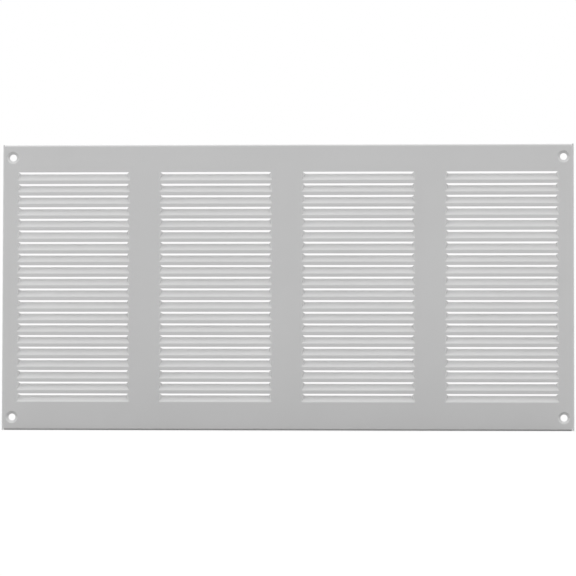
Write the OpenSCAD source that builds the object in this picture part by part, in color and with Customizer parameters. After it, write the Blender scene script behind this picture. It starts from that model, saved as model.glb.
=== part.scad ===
// Wall vent cover, pressed and folded from one painted sheet.
// A flat face with folded edges carries columns of louvres pushed inwards
// and a dished screw hole at each corner.
// X runs across the cover, Y goes into the wall and Z up it. The face looks along -Y.
// The origin is the centre of the four screw holes, halfway through their bores.

/* [Sheet] */
// Width of the cover over its folded edges
cover_w = 400; // [396:1:600]
// Height of the cover over its folded edges
cover_h = 200; // [190:1:400]
// Thickness of the sheet
sheet_t = 0.7; // [0.5:0.1:1]

/* [Folded edge] */
// How far the face stands off the wall
edge_depth = 5; // [4.8:0.2:15]
// Outside radius of the fold along each edge
edge_r = 1.4; // [1.2:0.1:2.2]
// Width of the open seam beside the fold of each upright edge
seam_w = 0.3; // [0.3:0.1:1]

/* [Louvres] */
// Number of louvres side by side
louvre_columns = 4; // [1:1:4]
// Number of louvres in a column
louvre_rows = 20; // [1:1:20]
// Distance from one column to the next
column_pitch = 100; // [85:1:101]
// Distance from one louvre to the next below it
row_pitch = 8.17; // [7.8:0.01:8.6]
// Length of a louvre's opening along its cut edge
louvre_len = 77.8; // [20:0.1:90]
// Height of a louvre from its cut edge down to its fold
louvre_h = 6.3; // [5.5:0.1:6.8]
// Height of the clear slit between the cut edge and the blade
slit_h = 1.2; // [0.8:0.05:2]
// Lean of the blade, back from the face
blade_tilt = 38; // [25:1:42]
// Radius of the blade's fold, on the face side
blade_r = 1.6; // [1.2:0.1:2.5]
// How much each end spreads from the cut edge down to the fold
end_flare = 0.75; // [0:0.05:2]
// Slope of the pressed end walls, measured from the face
end_slope = 65; // [55:1:80]

/* [Screw holes] */
// Diameter of a screw hole
screw_d = 4.9; // [3:0.1:6]
// Diameter of the dish around a screw hole, at the face
dish_d = 8.5; // [7:0.1:10]
// Depth of the dish, from the face to the start of the bore
dish_depth = 1.4; // [0.8:0.1:2]
// Distance from a side of the cover to the middle of a screw hole
screw_in_x = 7.15; // [7:0.05:12]
// Distance from the top or bottom of the cover to the middle of a screw hole
screw_in_z = 8.95; // [8:0.05:12]

/* [Hidden] */
$fn = 64;
// Colour of the paint
paint = [0.93, 0.93, 0.93];
// Reach of cutting shapes past what they cut
spare = 1;

// Depths are measured back from the face, as y in these sections.
fold_z = -louvre_h;
// Overlap of the folds with the flat sheet that they grow from
fold_lap = 0.2;
// Distance from the start of a blade's fold to where its straight faces would meet
corner_rise = blade_r * tan(blade_tilt / 2);
// Straight part of the blade, from the end of its fold up to its free edge
blade_rise = louvre_h - slit_h - blade_r * sin(blade_tilt);
blade_len = blade_rise / cos(blade_tilt);
blade_start = [blade_r * (1 - cos(blade_tilt)), fold_z + blade_r * sin(blade_tilt)];
blade_edge = blade_start + blade_len * [sin(blade_tilt), cos(blade_tilt)];
// Middle of the sheet, where the end walls run into the blade
mid = sheet_t / 2 * [cos(blade_tilt), -sin(blade_tilt)];
// Plan angle of the spreading ends
flare_angle = atan(end_flare / louvre_h);
// Size of the blocks that trim a louvre's ends, large enough to clear it both ways
end_reach = 4 * louvre_len;

field_top = ((louvre_rows - 1) * row_pitch + louvre_h) / 2;
screw_x = cover_w / 2 - screw_in_x;
screw_z = cover_h / 2 - screw_in_z;
// Depth of the middle of a screw hole's bore
bore_middle = dish_depth + sheet_t / 2;

// Turns a section, drawn as depth and height, so that it runs along X
module run_along_x(length) {
    rotate([90, 0, 90])
        linear_extrude(length, center = true)
            children();
}

// Turns a plan, drawn as width and height, into a slab that goes back from the face
module go_back(depth) {
    rotate([90, 0, 0])
        mirror([0, 0, 1])
            linear_extrude(depth)
                children();
}

module each_louvre() {
    for (column = [0 : louvre_columns - 1])
        for (row = [0 : louvre_rows - 1])
            translate([
                (column - (louvre_columns - 1) / 2) * column_pitch,
                0,
                field_top - row * row_pitch
            ])
                children();
}

module each_screw() {
    for (side = [-1, 1])
        for (level = [-1, 1])
            translate([side * screw_x, 0, level * screw_z])
                children();
}

// Opening that a louvre leaves in the face, with its cut edge at height 0
module louvre_window() {
    half = louvre_len / 2;
    polygon([
        [-half, 0],
        [-half - end_flare, fold_z],
        [half + end_flare, fold_z],
        [half, 0]
    ]);
}

// Wedge between the two ends of the fold, from its middle out to the given reach
module fold_wedge(reach) {
    polygon([
        [0, 0],
        [-reach, 0],
        reach * [-cos(blade_tilt), sin(blade_tilt)]
    ]);
}

// Section of a blade: the sheet comes up from the face, folds and leans straight back.
// Both straight parts meet in a sharp corner, which is then rounded inside and out.
module blade_section() {
    difference() {
        union() {
            translate([0, fold_z - fold_lap])
                square([sheet_t, fold_lap + corner_rise]);
            translate([0, fold_z + corner_rise])
                rotate(-blade_tilt)
                    square([sheet_t, corner_rise + blade_len]);
            translate([blade_r, fold_z])
                fold_wedge(blade_r - sheet_t / 4);
        }
        translate([blade_r, fold_z]) {
            difference() {
                fold_wedge(2 * blade_r);
                circle(blade_r);
            }
            intersection() {
                fold_wedge(2 * blade_r);
                circle(blade_r - sheet_t);
            }
        }
    }
}

// Side view of an end wall: it fills the wedge between the face and the blade
module end_wall_section() {
    polygon([
        [0, 0],
        [0, fold_z],
        [sheet_t / 2, fold_z],
        blade_start + mid,
        blade_edge + mid,
        blade_edge
    ]);
}

// Space to the right of a louvre's left end wall, which leans inwards as it goes back.
// The space starts outside the wall when it is given the wall's thickness.
module inside_left_end(skin) {
    translate([-louvre_len / 2, 0, 0])
        rotate([0, flare_angle, 0])
            rotate([0, 0, end_slope - 90])
                translate([end_reach / 2 - skin, 0, 0])
                    cube(end_reach, center = true);
}

module inside_both_ends(skin) {
    intersection() {
        inside_left_end(skin);
        mirror([1, 0, 0])
            inside_left_end(skin);
    }
}

// One louvre: the blade and the two end walls that join it to the face
module louvre() {
    intersection() {
        run_along_x(2 * louvre_len)
            blade_section();
        inside_both_ends(sheet_t);
    }
    difference() {
        intersection() {
            run_along_x(2 * louvre_len)
                end_wall_section();
            inside_both_ends(sheet_t);
        }
        inside_both_ends(0);
    }
}

// Section of one folded edge, running back from the face to the wall
module edge_section() {
    translate([-edge_r, -fold_lap])
        square([sheet_t, fold_lap]);
    intersection() {
        difference() {
            circle(edge_r);
            circle(edge_r - sheet_t);
        }
        translate([-edge_r, 0])
            square(edge_r);
    }
    translate([0, edge_r - sheet_t])
        square([edge_depth - edge_r, sheet_t]);
}

// A folded edge of the given length, with its outside at the given height
module folded_edge(length, height) {
    translate([0, edge_r, height - edge_r])
        run_along_x(length)
            edge_section();
}

// The upright edges run the full height and the others stop at their folds
module folded_edges() {
    for (turn = [0, 180]) {
        rotate([0, turn, 0])
            folded_edge(cover_w - 2 * edge_r, cover_h / 2);
        rotate([0, turn + 90, 0])
            folded_edge(cover_h, cover_w / 2);
    }
}

// Open seams at the corners, where the sheet is slit so that both edges can fold
module corner_seams() {
    for (turn = [0, 180])
        for (side = [0, 1])
            rotate([0, turn, 0])
                mirror([side, 0, 0])
                    translate([cover_w / 2 - edge_r - seam_w, -spare, cover_h / 2 - edge_r])
                        cube([seam_w, edge_depth + 2 * spare, edge_r + spare]);
}

// Flat of the face between the folded edges, with a window for each louvre
module face() {
    go_back(sheet_t)
        difference() {
            square([cover_w - 2 * edge_r, cover_h - 2 * edge_r], center = true);
            for (column = [0 : louvre_columns - 1])
                for (row = [0 : louvre_rows - 1])
                    translate([
                        (column - (louvre_columns - 1) / 2) * column_pitch,
                        field_top - row * row_pitch
                    ])
                        louvre_window();
        }
}

// A cone that narrows as it goes back, as wide as given at either end
module dish(bottom_d, top_d, from, to) {
    rotate([-90, 0, 0])
        translate([0, 0, from])
            cylinder(h = to - from, d1 = top_d, d2 = bottom_d);
}

module louvre_panel() {
    color(paint)
        translate([0, -bore_middle, 0])
            difference() {
                union() {
                    face();
                    folded_edges();
                    each_louvre()
                        louvre();
                    each_screw()
                        dish(screw_d + 2 * sheet_t, dish_d + 2 * sheet_t, sheet_t / 2, dish_depth + sheet_t);
                }
                corner_seams();
                each_screw() {
                    dish(screw_d, dish_d, 0, dish_depth);
                    dish(screw_d, screw_d, -spare, dish_depth + 2 * spare);
                }
            }
}

louvre_panel();
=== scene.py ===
# %% [markdown]
# # A pressed wall vent cover
# The real cover is one thin steel sheet. It is cut and pressed so that 80 narrow
# louvres lean back behind the face, its four edges are folded back towards the
# wall, and it is sprayed with white powder paint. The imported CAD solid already
# has this shape: the round folds, the sloping end walls, the dished holes and the
# open corner seams. So it stays as it is, and Blender gives it its paint, the
# light and the camera. The frame is loaded first and is never moved.

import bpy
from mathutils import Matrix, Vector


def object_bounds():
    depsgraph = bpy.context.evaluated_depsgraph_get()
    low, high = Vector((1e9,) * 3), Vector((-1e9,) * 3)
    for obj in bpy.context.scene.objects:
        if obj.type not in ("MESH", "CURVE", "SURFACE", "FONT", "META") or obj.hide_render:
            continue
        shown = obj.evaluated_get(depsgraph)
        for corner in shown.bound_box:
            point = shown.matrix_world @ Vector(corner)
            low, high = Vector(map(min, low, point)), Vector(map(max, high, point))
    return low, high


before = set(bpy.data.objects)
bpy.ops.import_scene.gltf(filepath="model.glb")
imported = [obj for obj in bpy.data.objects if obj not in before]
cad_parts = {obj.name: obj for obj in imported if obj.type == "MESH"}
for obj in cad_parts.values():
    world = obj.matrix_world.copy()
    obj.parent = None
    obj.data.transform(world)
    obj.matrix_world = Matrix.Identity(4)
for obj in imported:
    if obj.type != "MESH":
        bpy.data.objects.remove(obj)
cad_low, cad_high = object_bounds()
print("CAD box", [round(v, 5) for v in cad_low], [round(v, 5) for v in cad_high])

# %% Sizes
import math

import bpy
from mathutils import Euler, Matrix, Vector

MM = 0.001
cover_w = cad_high.x - cad_low.x
cover_h = cad_high.z - cad_low.z
print("cover", round(cover_w / MM, 2), "x", round(cover_h / MM, 2), "mm")

# %% [markdown]
# ## Camera
# The photograph was taken from about two metres away with a long lens, a little
# to the right of the middle and level with the cover's lower edge. A long lens
# keeps the outline almost square. The turn was found by matching the screw holes
# and the rows of louvres with their known sizes. It is written as a turn away
# from looking straight at the face, and `level` stands the view upright.

# %% Camera
bpy.ops.object.camera_add(location=(0.1129, -2.0921, -0.0912))
camera = bpy.context.object
camera.name = "camera"
camera.data.sensor_width = 36
camera.data.lens = 187.5
camera.data.clip_end = 50
turn_in = Euler((math.radians(-2.48), math.radians(-3.065), math.radians(0.018)))
level = Matrix(((1, 0, 0), (0, 0, 1), (0, -1, 0)))
camera.rotation_euler = (turn_in.to_matrix() @ level).transposed().to_euler()
bpy.context.scene.camera = camera
bpy.context.scene.view_settings.view_transform = "Standard"
print("camera", [round(v, 4) for v in camera.location])

# %% [markdown]
# ## White powder paint
# Baked powder paint is a satin white with a faint orange peel: soft bumps about a
# millimetre across, too low to see except where light grazes them. An image of
# paint would need a flat layout of the sheet, so noise in Object coordinates is
# used instead, which runs over folds and louvres without a seam. Two fine noises
# give the bumps. A wide one shifts the tone and the gloss a little, as the oven
# and handling do.

# %% Node helper
def node(tree, kind, x, y, **settings):
    """Adds a node at a place in the node editor and sets its own options."""
    made = tree.nodes.new(kind)
    made.location = (x, y)
    for name, value in settings.items():
        setattr(made, name, value)
    return made


# %% Noises of the paint
paint = bpy.data.materials.new("white_powder_paint")
paint.use_nodes = True
tree = paint.node_tree
shader = tree.nodes["Principled BSDF"]
place = node(tree, "ShaderNodeTexCoord", -1100, 0)
peel = node(tree, "ShaderNodeTexNoise", -800, -300)
peel.inputs["Scale"].default_value = 900
peel.inputs["Detail"].default_value = 2
grain = node(tree, "ShaderNodeTexNoise", -800, -560)
grain.inputs["Scale"].default_value = 4200
grain.inputs["Detail"].default_value = 1
wide = node(tree, "ShaderNodeTexNoise", -800, 200)
wide.inputs["Scale"].default_value = 14
wide.inputs["Detail"].default_value = 4
for texture in (peel, grain, wide):
    tree.links.new(place.outputs["Object"], texture.inputs["Vector"])
print("noises", len([n for n in tree.nodes if n.type == "TEX_NOISE"]))

# %% Orange peel
relief = node(tree, "ShaderNodeMath", -560, -400, operation="MULTIPLY_ADD")
relief.inputs[1].default_value = 0.25
tree.links.new(grain.outputs["Fac"], relief.inputs[0])
tree.links.new(peel.outputs["Fac"], relief.inputs[2])
bump = node(tree, "ShaderNodeBump", -330, -320)
bump.inputs["Strength"].default_value = 0.35
bump.inputs["Distance"].default_value = 0.03 * MM
tree.links.new(relief.outputs[0], bump.inputs["Height"])
tree.links.new(bump.outputs["Normal"], shader.inputs["Normal"])
print("peel height up to", bump.inputs["Distance"].default_value / MM, "mm")

# %% Tone and gloss
tone = node(tree, "ShaderNodeValToRGB", -560, 240)
tone.color_ramp.elements[0].position = 0.3
tone.color_ramp.elements[0].color = (0.835, 0.835, 0.835, 1)
tone.color_ramp.elements[1].position = 0.7
tone.color_ramp.elements[1].color = (0.865, 0.865, 0.865, 1)
tree.links.new(wide.outputs["Fac"], tone.inputs["Fac"])
tree.links.new(tone.outputs["Color"], shader.inputs["Base Color"])
gloss = node(tree, "ShaderNodeMapRange", -560, 0)
gloss.inputs["To Min"].default_value = 0.36
gloss.inputs["To Max"].default_value = 0.46
tree.links.new(wide.outputs["Fac"], gloss.inputs["Value"])
tree.links.new(gloss.outputs["Result"], shader.inputs["Roughness"])

# %% Paint the panel
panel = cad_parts["louvre_panel"]
panel.data.materials.clear()
panel.data.materials.append(paint)
print("painted", panel.name, "with", paint.name)

# %% [markdown]
# ## Floor
# The cover stands on its lower edge on a wide pale floor. The camera sees the
# floor as white because a glow is added for camera rays alone. The matt part
# under it still catches the light, so the object's shadow stays on it.

# %% Floor
bpy.ops.object.select_all(action="DESELECT")
bpy.ops.mesh.primitive_plane_add(size=12, location=(0, 0, cad_low.z))
floor = bpy.context.object
floor.name = "floor"
pale = bpy.data.materials.new("pale_floor")
pale.use_nodes = True
tree = pale.node_tree
tree.nodes.clear()
surface = node(tree, "ShaderNodeOutputMaterial", 600, 0)
matt = node(tree, "ShaderNodeBsdfDiffuse", 0, 150)
matt.inputs["Color"].default_value = (0.35, 0.35, 0.35, 1)
glow = node(tree, "ShaderNodeEmission", 0, -50)
seen = node(tree, "ShaderNodeLightPath", -300, 0)
lift = node(tree, "ShaderNodeMath", -100, -150, operation="MULTIPLY")
# The open floor reflects about 0.43, so this brings it just to white and no further.
lift.inputs[1].default_value = 0.575
tree.links.new(seen.outputs["Is Camera Ray"], lift.inputs[0])
tree.links.new(lift.outputs[0], glow.inputs["Strength"])
total = node(tree, "ShaderNodeAddShader", 300, 0)
tree.links.new(matt.outputs[0], total.inputs[0])
tree.links.new(glow.outputs[0], total.inputs[1])
tree.links.new(total.outputs[0], surface.inputs["Surface"])
floor.data.materials.append(pale)
print("floor at z", round(floor.location.z, 4))

# %% [markdown]
# ## Light
# In the photograph the face is grey and the leaning blades are lighter, so little
# light comes from straight ahead and more comes from the sides, above and behind.
# A surround does that: its strength follows the direction, dim in front and
# brighter behind, and stays low enough that no side of the white paint clips. One
# soft box above the front, a little to the left, makes the top and left of the
# face the lightest. Camera, glossy and transmission rays see plain white.

# %% Strength of the surround
world = bpy.data.worlds.new("surround")
bpy.context.scene.world = world
world.use_nodes = True
tree = world.node_tree
tree.nodes.clear()
brightest = 1.6
way = node(tree, "ShaderNodeTexCoord", -1100, 200)
parts = node(tree, "ShaderNodeSeparateXYZ", -900, 200)
tree.links.new(way.outputs["Generated"], parts.inputs[0])
front_to_back = node(tree, "ShaderNodeMapRange", -720, 200)
front_to_back.inputs["From Min"].default_value = -1
front_to_back.inputs["From Max"].default_value = 1
tree.links.new(parts.outputs["Y"], front_to_back.inputs["Value"])
shade = node(tree, "ShaderNodeValToRGB", -540, 200)
stops = shade.color_ramp.elements
stops[0].position, stops[0].color = 0.05, (0.14, 0.14, 0.14, 1)
stops[1].position, stops[1].color = 0.85, (1, 1, 1, 1)
for position, value in ((0.28, 0.62), (0.55, 0.78)):
    stop = stops.new(position)
    stop.color = (value, value, value, 1)
tree.links.new(front_to_back.outputs[0], shade.inputs["Fac"])
strength = node(tree, "ShaderNodeMath", -240, 200, operation="MULTIPLY")
strength.inputs[1].default_value = brightest
tree.links.new(shade.outputs["Color"], strength.inputs[0])
print("surround from", round(0.14 * brightest, 2), "in front to", brightest, "behind")

# %% White for the camera
lit = node(tree, "ShaderNodeBackground", 0, 100)
tree.links.new(strength.outputs[0], lit.inputs["Strength"])
lit.inputs["Color"].default_value = (1, 1, 1, 1)
white = node(tree, "ShaderNodeBackground", 0, -100)
white.inputs["Color"].default_value = (1, 1, 1, 1)
white.inputs["Strength"].default_value = 1
seen = node(tree, "ShaderNodeLightPath", -540, -150)
straight = node(tree, "ShaderNodeMath", -300, -100, operation="MAXIMUM")
tree.links.new(seen.outputs["Is Camera Ray"], straight.inputs[0])
tree.links.new(seen.outputs["Is Glossy Ray"], straight.inputs[1])
plain = node(tree, "ShaderNodeMath", -140, -100, operation="MAXIMUM")
tree.links.new(straight.outputs[0], plain.inputs[0])
tree.links.new(seen.outputs["Is Transmission Ray"], plain.inputs[1])
mix = node(tree, "ShaderNodeMixShader", 250, 0)
tree.links.new(plain.outputs[0], mix.inputs["Fac"])
tree.links.new(lit.outputs[0], mix.inputs[1])
tree.links.new(white.outputs[0], mix.inputs[2])
surface = node(tree, "ShaderNodeOutputWorld", 500, 0)
tree.links.new(mix.outputs[0], surface.inputs["Surface"])

# %% Soft box
box_at = Vector((-0.5, -1.5, 1.9))
box_w, box_h = 2.4, 1.4
radiance = 0.9
bpy.ops.object.light_add(type="AREA", location=box_at)
box = bpy.context.object
box.name = "box_above"
box.data.shape = "RECTANGLE"
box.data.size = box_w
box.data.size_y = box_h
box.data.energy = radiance * math.pi * box_w * box_h
box.rotation_euler = (-box_at).to_track_quat("-Z", "Y").to_euler()
print("soft box energy", round(box.data.energy, 2), "W")
